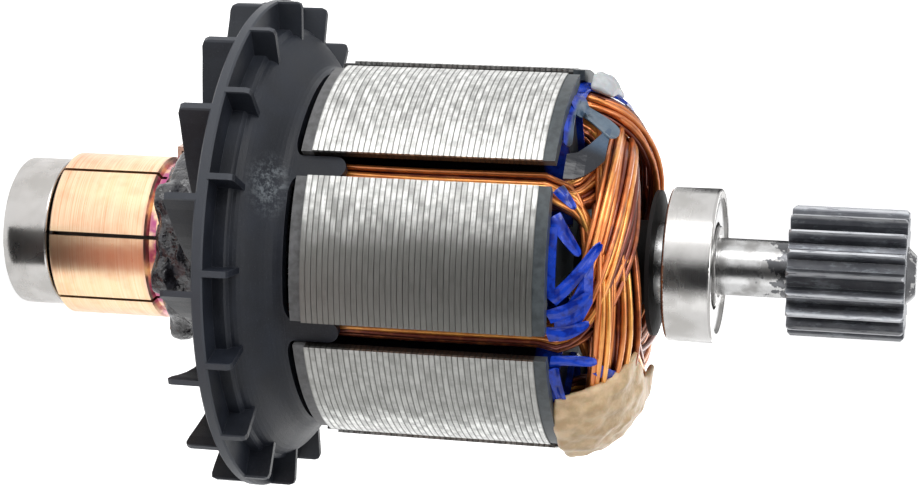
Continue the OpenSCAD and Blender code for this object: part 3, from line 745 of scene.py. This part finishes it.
# Painted reflection: short dark runs on the middle tooth, changing from sheet to sheet.
drop = tree.nodes.new("ShaderNodeCombineXYZ")
put(drop.inputs[0], maths(tree, "MULTIPLY", sheet, 5.3))
put(drop.inputs[1], maths(tree, "MULTIPLY", turns, 42.0))
drops = remap(tree, noise(tree, drop.outputs[0], 1.0, 2.0), 0.42, 0.62)
central = maths(tree, "MULTIPLY", middle, remap(tree, turns, -0.085, -0.06))
painted_runs = maths(tree, "MULTIPLY", maths(tree, "MULTIPLY", central, drops), 0.55)
shaded_steel = blend(tree, painted_runs, shaded_steel, (0.2, 0.2, 0.19, 1))
shaded_steel = blend(tree, maths(tree, "MULTIPLY", joint, 0.55), shaded_steel, (0.16, 0.16, 0.15, 1))
ground = remap(tree, radius, stack_r - 0.5, stack_r - 0.25)
put(shader.inputs["Base Color"], blend(tree, ground, (0.012, 0.011, 0.01, 1), shaded_steel))
put(shader.inputs["Metallic"], maths(tree, "MULTIPLY", ground, 0.94))
roughen(tree, shader, tone, 0.22, 0.24)
put(shader.inputs["Normal"], bump(tree, maths(tree, "ADD", streak, fine), 0.03))
dress("lamination_stack", core_steel)

# %% [markdown]
# ## Boards and film
# The boards at the ends of the stack are dull grey fibre. The film in the slots is deep blue and
# glossy. Down in the slots it is painted black, as shade, and one cuff of it is smoky.

# %% Insulating boards
def board(name, pale, dark_tone, rough):
    """Dull pressed fibre, a little cloudy, with edges paler from wear."""
    tree, shader, material = new_finish(name)
    cloud = noise(tree, place_of(tree), 0.9, 4.0)
    base = blend(tree, remap(tree, cloud, 0.3, 0.7), dark_tone, pale)
    rubbed_and_lit = maths(tree, "MULTIPLY", edges_of(tree, 0.12), 0.3)
    put(shader.inputs["Base Color"], blend(tree, rubbed_and_lit, base, (0.2, 0.2, 0.2, 1)))
    roughen(tree, shader, cloud, rough, 0.2)
    put(shader.inputs["Normal"], bump(tree, cloud, 0.03))
    return material


dress("rear_insulator", board("rear_board", (0.13, 0.13, 0.135, 1), (0.07, 0.07, 0.07, 1), 0.42))
dress("front_insulator", board("front_board", (0.062, 0.075, 0.082, 1), (0.03, 0.037, 0.042, 1), 0.34))

# %% Film
tree, shader, liner_film = new_finish("liner_film")
cloud = noise(tree, place_of(tree), 0.7, 3.0)
crease = noise(tree, place_of(tree, (1, 1, 0.3)), 0.9, 2.0, 0.4)
blue = blend(tree, remap(tree, cloud, 0.38, 0.56), (0.003, 0.018, 0.24, 1), (0.006, 0.05, 0.5, 1))
radius, turns, height = polar_of(tree)
# Down in the slots the film is painted black, as shade.
slot_shade = remap(tree, height, front_face - 2.6, front_face - 1.6)
smoky_turn = 0.118
beside = remap(tree, maths(tree, "ABSOLUTE", maths(tree, "ADD", turns, smoky_turn)), 0.05, 0.06, 1.0, 0.0)
cuff = maths(tree, "MULTIPLY", remap(tree, height, front_face + 0.3, front_face + 0.9), beside)
smoke = blend(tree, remap(tree, turns, -0.125, -0.105), (0.06, 0.1, 0.16, 1), (0.012, 0.014, 0.02, 1))
tinted = blend(tree, cuff, blue, smoke)
put(shader.inputs["Base Color"], blend(tree, slot_shade, (0.004, 0.004, 0.007, 1), tinted))
roughen(tree, shader, cloud, 0.14, 0.2)
put(shader.inputs["Normal"], bump(tree, crease, 0.12))
shader.inputs["Specular IOR Level"].default_value = 0.35
shader.inputs["Coat Weight"].default_value = 0.12
dress("slot_liners", liner_film)

# %% [markdown]
# ## Commutator
# Brushes polish the copper bars round the shaft. The copper near the hooks was heated when the wires
# were fused to them, and keeps the purple of that heat. The hooks carry a skin of tin.

# %% Copper
bars_foot = heights("commutator_bars")[0]
track_length = 12.95
track_top = bars_foot + track_length
tin_from = 10.95
tree, shader, copper = new_finish("copper")
radius, turns, height = polar_of(tree)
ring, patch = turned_of(tree, 5.0, 0.5)
broad = remap(tree, noise(tree, place_of(tree, (1, 1, 0.3)), 0.16, 2.0), 0.35, 0.65)
warm = blend(tree, broad, (0.74, 0.38, 0.22, 1), (0.86, 0.6, 0.34, 1))
brushed = blend(tree, remap(tree, ring, 0.3, 0.7), warm, (0.9, 0.7, 0.49, 1))
dulled = maths(tree, "MULTIPLY", remap(tree, patch, 0.45, 0.75), 0.25)
worn_track = blend(tree, dulled, brushed, (0.66, 0.28, 0.14, 1))
clouds = remap(tree, noise(tree, place_of(tree), 0.35, 3.0), 0.4, 0.56)
heat = maths(tree, "MULTIPLY", remap(tree, height, track_top - 0.8, track_top + 0.7), clouds)
heated = blend(tree, heat, worn_track, (0.42, 0.1, 0.22, 1))
tinned = remap(tree, radius, tin_from, 11.25)
put(shader.inputs["Base Color"], blend(tree, tinned, heated, (0.55, 0.4, 0.32, 1)))
roughen(tree, shader, maths(tree, "ADD", ring, patch), 0.2, 0.1)
put(shader.inputs["Normal"], bump(tree, ring, 0.008))
shader.inputs["Metallic"].default_value = 1
dress("commutator_bars", copper)

# %% [markdown]
# The bars are moulded into a brown-black core. The wires that leave the hooks have the coils' enamel.

# %% Moulded core
tree, shader, phenolic = new_finish("phenolic")
cloud = noise(tree, place_of(tree), 1.2, 4.0)
put(shader.inputs["Base Color"], blend(tree, cloud, (0.012, 0.009, 0.008, 1), (0.035, 0.026, 0.02, 1)))
roughen(tree, shader, cloud, 0.35, 0.2)
put(shader.inputs["Normal"], bump(tree, cloud, 0.03))
dress("commutator_core", phenolic)
dress("commutator_leads", enamel)

# %% [markdown]
# Dark resin holds those wires. It is glossy where it is thick, and greyer and duller in patches.

# %% Resin
tree, shader, resin = new_finish("resin")
cloud = noise(tree, place_of(tree), 0.45, 3.0)
lumps = noise(tree, place_of(tree), 0.55, 3.0, 0.5)
greyer = remap(tree, cloud, 0.35, 0.7)
put(shader.inputs["Base Color"], blend(tree, greyer, (0.008, 0.007, 0.009, 1), (0.05, 0.05, 0.06, 1)))
put(shader.inputs["Roughness"], remap(tree, cloud, 0.3, 0.7, 0.1, 0.38))
put(shader.inputs["Normal"], bump(tree, lumps, 0.9))
shader.inputs["Coat Weight"].default_value = 0.5
dress("lead_resin", resin)

# %% [markdown]
# ## Front end
# The sleeve and the washer are black plastic. The pinion is hardened and blackened steel, and its
# teeth are worn bright along their tips, where the next gear rubs, with paler patches here and there.

# %% Sleeve and washer
tree, shader, sleeve_plastic = new_finish("sleeve_plastic")
cloud = noise(tree, place_of(tree), 0.8, 4.0)
put(shader.inputs["Base Color"], blend(tree, cloud, (0.004, 0.004, 0.005, 1), (0.014, 0.012, 0.011, 1)))
roughen(tree, shader, cloud, 0.45, 0.3)
shader.inputs["Specular IOR Level"].default_value = 0.15
put(shader.inputs["Normal"], bump(tree, cloud, 0.03))
for node in ("shaft_sleeve", "end_washer"):
    dress(node, sleeve_plastic)

# %% Pinion
pinion_r = outer_radius("pinion")
tree, shader, pinion_steel = new_finish("pinion_steel")
radius, turns, height = polar_of(tree)
along = noise(tree, place_of(tree, (1, 1, 0.12)), 2.6, 4.0, 0.7)
cloud = noise(tree, place_of(tree), 0.35, 3.0)
tips = remap(tree, radius, pinion_r - 0.32, pinion_r - 0.12)
polished = maths(tree, "MULTIPLY", tips, remap(tree, along, 0.3, 0.5))
bright = maths(tree, "MAXIMUM", polished, edges_of(tree, 0.16))
paler_patches = remap(tree, noise(tree, place_of(tree, (1, 1, 0.3)), 1.3, 4.0, 0.7), 0.5, 0.64)
blackened = blend(tree, remap(tree, cloud, 0.4, 0.7), (0.12, 0.125, 0.14, 1), (0.17, 0.175, 0.19, 1))
blackened = blend(tree, maths(tree, "MULTIPLY", paler_patches, 0.45), blackened, (0.36, 0.39, 0.42, 1))
worn_teeth = blend(tree, maths(tree, "MULTIPLY", bright, 0.75), blackened, (0.5, 0.51, 0.53, 1))
put(shader.inputs["Base Color"], worn_teeth)
roughen(tree, shader, along, 0.4, 0.2)
put(shader.inputs["Normal"], bump(tree, along, 0.02))
shader.inputs["Metallic"].default_value = 0.95
dress("pinion", pinion_steel)

# %% [markdown]
# ## Putty
# Two lumps of putty balance the rotor. The large one is tan and waxy, and the small one is pale grey.

# %% Putty
def putty(name, pale, deep):
    """Waxy filler, pressed on by hand, with a few grains."""
    tree, shader, material = new_finish(name)
    cloud = noise(tree, place_of(tree), 0.5, 4.0)
    put(shader.inputs["Base Color"], blend(tree, remap(tree, cloud, 0.3, 0.7), deep, pale))
    roughen(tree, shader, cloud, 0.3, 0.25)
    put(shader.inputs["Normal"], bump(tree, noise(tree, place_of(tree), 0.8, 3.0), 0.15))
    shader.inputs["Subsurface Weight"].default_value = 0.3
    shader.inputs["Subsurface Scale"].default_value = 0.6 * mm
    return material


dress("balancing_putty", putty("cream_putty", (0.74, 0.55, 0.34, 1), (0.5, 0.34, 0.18, 1)))
dress("trim_putty", putty("grey_putty", (0.6, 0.62, 0.64, 1), (0.42, 0.44, 0.46, 1)))

# %% [markdown]
# ## Flaps of film
# The film that lines a slot is cut longer than the stack, and its ends are folded over the wires and
# round the teeth. Each flap is a grid that is laid on the end winding, pulled in to a blunt tip,
# creased and then given its thickness. An operator can't lay a grid on the dome, so its vertices are
# placed by the same formula as the wires.

# %% Grids and walls
def new_grid(name, columns, rows):
    """A flat grid from -1 to 1, selected alone and active."""
    bpy.ops.object.select_all(action="DESELECT")
    bpy.ops.mesh.primitive_grid_add(x_subdivisions=columns, y_subdivisions=rows, size=2)
    made = bpy.context.object
    made.name = name
    return made


def give_wall(made, thickness, side, crease_angle):
    """Turns a sheet's faces one way and gives it a thickness in millimetres."""
    bpy.ops.object.mode_set(mode="EDIT")
    bpy.ops.mesh.select_all(action="SELECT")
    bpy.ops.mesh.normals_make_consistent(inside=False)
    bpy.ops.object.mode_set(mode="OBJECT")
    wall = made.modifiers.new("wall", "SOLIDIFY")
    wall.thickness = thickness * mm
    wall.offset = side
    bpy.ops.object.modifier_apply(modifier="wall")
    bpy.ops.object.shade_smooth_by_angle(angle=math.radians(crease_angle))


# %% One flap
dome_run = 16
degrees_per_mm = 3
tip_from = 0.85


def flap(name, base, tip, wide, narrow, lift, seed, bow=0.0, slot="liner_film", finish=None):
    """A tongue of film from base to tip, both (share up the dome, angle).

    Its two widths and its height over the wires are in millimetres, bow bends its course by
    degrees, and finish takes the place of the blue film."""
    made = new_grid(name, 8, 18)
    rng = random.Random(seed)
    phase = [rng.uniform(0, 6.3) for _ in range(3)]
    start = on_dome(base[0], base[1], 0)
    end = on_dome(tip[0], tip[1], 0)
    rise = dome_run * (tip[0] - base[0])
    swing = (tip[1] - base[1]) / degrees_per_mm
    run = math.hypot(rise, swing)
    across = (swing / run, -rise / run)
    for vertex in made.data.vertices:
        u = vertex.co.x
        v = 0.5 * (vertex.co.y + 1)
        width = 0.5 * (wide + (narrow - wide) * v ** 1.6)
        if v > tip_from:
            width *= math.sqrt(max(1 - ((v - tip_from) / 0.16) ** 2, 0.02))
        t = base[0] + (tip[0] - base[0]) * v + across[0] * u * width / dome_run
        angle = base[1] + (tip[1] - base[1]) * v + across[1] * u * width * degrees_per_mm
        angle += bow * math.sin(math.pi * v)
        crease = 0.1 * math.sin(phase[0] + 3.1 * u + 4 * v) + 0.06 * math.sin(phase[1] + 7 * v - 2 * u)
        curl = 0.35 * v * v * (0.4 + 0.6 * math.sin(phase[2] + 2 * u))
        vertex.co = on_dome(t, angle, -(lift + crease + curl))
    give_wall(made, 0.14, 0, 50)
    coat(made, finish or liner_film)
    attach(made, "rotor")
    return ((end - start) / mm).length


# %% Flaps at the slot below the middle tooth
flaps = [
    ("film_up_1", (-0.02, 12), (0.33, -7), 1.5, 1.1, 0.45, 1, 1.5),
    ("film_up_2", (-0.04, 17), (0.25, 10), 1.5, 1.0, 0.6, 2, 1.0),
    ("film_up_3", (-0.05, 23), (0.25, 20), 1.7, 0.9, 0.4, 3, 1.0),
    ("film_side_1", (-0.04, 33), (0.3, 36), 1.3, 0.9, 0.3, 4, -1.0),
    ("film_down_1", (-0.02, 35), (0.02, 51), 1.2, 1.0, 0.7, 5, 0.5),
    ("film_lower", (0.3, 40), (0.47, 50), 1.5, 1.3, 0.1, 6, 0.0),
]
for entry in flaps:
    length = flap(*entry)
print("flaps at the lower slot:", len(flaps), "last one", round(length, 1), "mm long")

# %% [markdown]
# ## Smoky film
# One piece of film lies flat on the winding in front of the smoky cuff and has its colour, so it
# needs a finish of its own.

# %% Smoky film
tree, shader, smoky_film = new_finish("smoky_film")
cloud = noise(tree, place_of(tree), 0.8, 3.0)
put(shader.inputs["Base Color"], blend(tree, cloud, (0.05, 0.08, 0.12, 1), (0.16, 0.22, 0.28, 1)))
roughen(tree, shader, cloud, 0.14, 0.2)
put(shader.inputs["Normal"], bump(tree, cloud, 0.1))

# %% Flaps at the slots above it
flap("film_smoky", (-0.01, -59), (0.35, -52), 2.2, 3.2, 0.1, 12, 0.0, "liner_film", smoky_film)
for entry in [
    ("film_v", (-0.03, -14), (0.17, -2.5), 1.6, 0.9, 0.5, 7, 0.5),
    ("film_corner", (-0.02, -23), (0.11, -17), 1.4, 0.6, 0.5, 8, 0.0),
    ("film_top_1", (-0.05, -64), (0.06, -53), 2.0, 1.6, 0.6, 9, -1.0),
    ("film_top_2", (-0.03, -52), (0.0, -38), 1.1, 0.9, 0.6, 10, 0.0),
    ("film_top_3", (-0.04, -66), (-0.02, -88), 1.8, 1.6, 0.1, 11, 0.0),
]:
    flap(*entry)

# %% [markdown]
# ## Resin over the commutator's neck
# The wires run from the hooks into a collar of resin. It was poured on, ran down over the hooks and
# set in lumps, glossy where it is thick. A tube of quads is placed round the neck and swells over
# each hook, apart from those at the top, which are bare and bright with tin.

# %% Radius of the resin
neck_foot, neck_top = heights("lead_resin")
neck_r = outer_radius("lead_resin")
bare_hooks = (4, 5)


def swell(angle, height):
    """Radius of the resin in millimetres at one place on the neck."""
    rise = height - neck_foot
    skirt = neck_r - 1.35 * (1 - smooth(rise / 1.1))
    rough = 1 - smooth((rise - 4.5) / 3)
    spot = Vector((math.cos(math.radians(angle)), math.sin(math.radians(angle)), 0)) * 7
    lump = solid_noise.noise(spot + Vector((0, 0, 0.62 * height)))
    lump += 0.5 * solid_noise.noise(spot * 2.3 + Vector((0, 0, height)))
    hook = 0.0
    for k in range(slots):
        off = (angle - pitch * (k + 0.5) + 180) % 360 - 180
        far = (off / 10) ** 4 + ((rise - 0.9) / 1.7) ** 4
        hook += (0.1 if k in bare_hooks else 1.0) * math.exp(-far)
    cover = min(hook, 1)
    plain = max(skirt, neck_r + 0.2) * cover + skirt * (1 - cover)
    return plain + 0.95 * hook + rough * 0.4 * lump


# %% Tube round the neck
def weld(reach):
    """Joins the vertices of the active mesh that are closer than reach, in millimetres."""
    bpy.ops.object.mode_set(mode="EDIT")
    bpy.ops.mesh.select_all(action="SELECT")
    bpy.ops.mesh.remove_doubles(threshold=reach * mm)
    bpy.ops.object.mode_set(mode="OBJECT")


def neck_tube(name, around_steps, height_steps):
    """A tube of quads over the whole neck, closed where its two ends meet."""
    made = new_grid(name, around_steps, height_steps)
    for vertex in made.data.vertices:
        angle = 180 * (vertex.co.x + 1)
        height = neck_foot + (neck_top - neck_foot) * 0.5 * (vertex.co.y + 1)
        vertex.co = around(swell(angle, height), angle, height)
    weld(0.01)
    give_wall(made, 0.9, -1, 60)
    return made


neck = neck_tube("resin_collar", 168, 44)
coat(neck, resin)
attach(neck, "rotor")
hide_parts("lead_resin")
print("resin collar:", len(neck.data.polygons), "faces")

# %% [markdown]
# ## Tin on the bare hooks
# Tin was left on the bare hooks when the wires were fused to them. Each drop is a small ball,
# stretched and dented at random, and all of them are joined into one mesh.

# %% Tin
tree, shader, tin = new_finish("solder_tin")
cloud = noise(tree, place_of(tree), 1.6, 3.0)
clean = remap(tree, cloud, 0.35, 0.65)
put(shader.inputs["Base Color"], blend(tree, clean, (0.42, 0.3, 0.22, 1), (0.8, 0.8, 0.82, 1)))
roughen(tree, shader, cloud, 0.12, 0.3)
put(shader.inputs["Normal"], bump(tree, cloud, 0.12))
shader.inputs["Metallic"].default_value = 1

# %% Tin drops
drops_per_hook = 9
rng = random.Random(5)
bpy.ops.object.select_all(action="DESELECT")
drops = []
for k in bare_hooks:
    for _ in range(drops_per_hook):
        angle = pitch * (k + 0.5) + rng.uniform(-9, 16)
        height = neck_foot + rng.uniform(0.9, 3.4)
        size = rng.uniform(0.35, 0.75)
        place = around(neck_r + 0.15, angle, height)
        bpy.ops.mesh.primitive_ico_sphere_add(subdivisions=3, radius=size * mm, location=place)
        drop = bpy.context.object
        drop.scale = (rng.uniform(0.7, 1.2), rng.uniform(0.7, 1.2), rng.uniform(0.7, 1.5))
        for vertex in drop.data.vertices:
            dent = solid_noise.noise(vertex.co / mm * 1.5 + Vector((angle, 0, 0)))
            vertex.co += vertex.normal * 0.12 * mm * dent
        drops.append(drop)
for drop in drops:
    drop.select_set(True)
bpy.context.view_layer.objects.active = drops[0]
bpy.ops.object.join()
tin_drops = bpy.context.object
tin_drops.name = "tin_drops"
bpy.ops.object.transform_apply(location=True, rotation=True, scale=True)
bpy.ops.object.shade_smooth()
coat(tin_drops, tin)
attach(tin_drops, "rotor")
print("drops of tin:", len(drops))

# %% [markdown]
# ## Sculpted putty
# Each lump starts as a copy of its CAD solid. A voxel remesh gives it an even skin, which is pushed
# out a little so that its thin rim holds, and a second remesh closes it. It is then smoothed, and
# pressed in and pushed out by broad and by smaller dents.

# %% Press the putty
def pressed(node, name, dent):
    """A copy of a CAD lump with soft dents, dent millimetres deep."""
    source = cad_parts[node]
    made = source.copy()
    made.data = source.data.copy()
    made.name = name
    bpy.context.scene.collection.objects.link(made)
    pick(made)
    weld(0.002)
    for size, thicker in ((0.2, 0.25), (0.26, 0.0)):
        skin = made.modifiers.new("skin", "REMESH")
        skin.mode = "VOXEL"
        skin.voxel_size = size * mm
        bpy.ops.object.modifier_apply(modifier="skin")
        for vertex in made.data.vertices:
            vertex.co += vertex.normal * thicker * mm
    soft = made.modifiers.new("soft", "SMOOTH")
    soft.iterations = 8
    bpy.ops.object.modifier_apply(modifier="soft")
    for vertex in made.data.vertices:
        spot = vertex.co / mm
        push = solid_noise.noise(spot * 0.28) + 0.4 * solid_noise.noise(spot * 0.7)
        vertex.co += vertex.normal * dent * mm * push
    bpy.ops.object.shade_smooth()
    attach(made, "rotor")
    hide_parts(node)
    return made


lumps_of_putty = (("balancing_putty", "putty_large", 0.4, "cream_putty"),
                  ("trim_putty", "putty_small", 0.3, "grey_putty"))
for node, name, dent, slot in lumps_of_putty:
    lump = pressed(node, name, dent)
    print(name, len(lump.data.polygons), "faces")
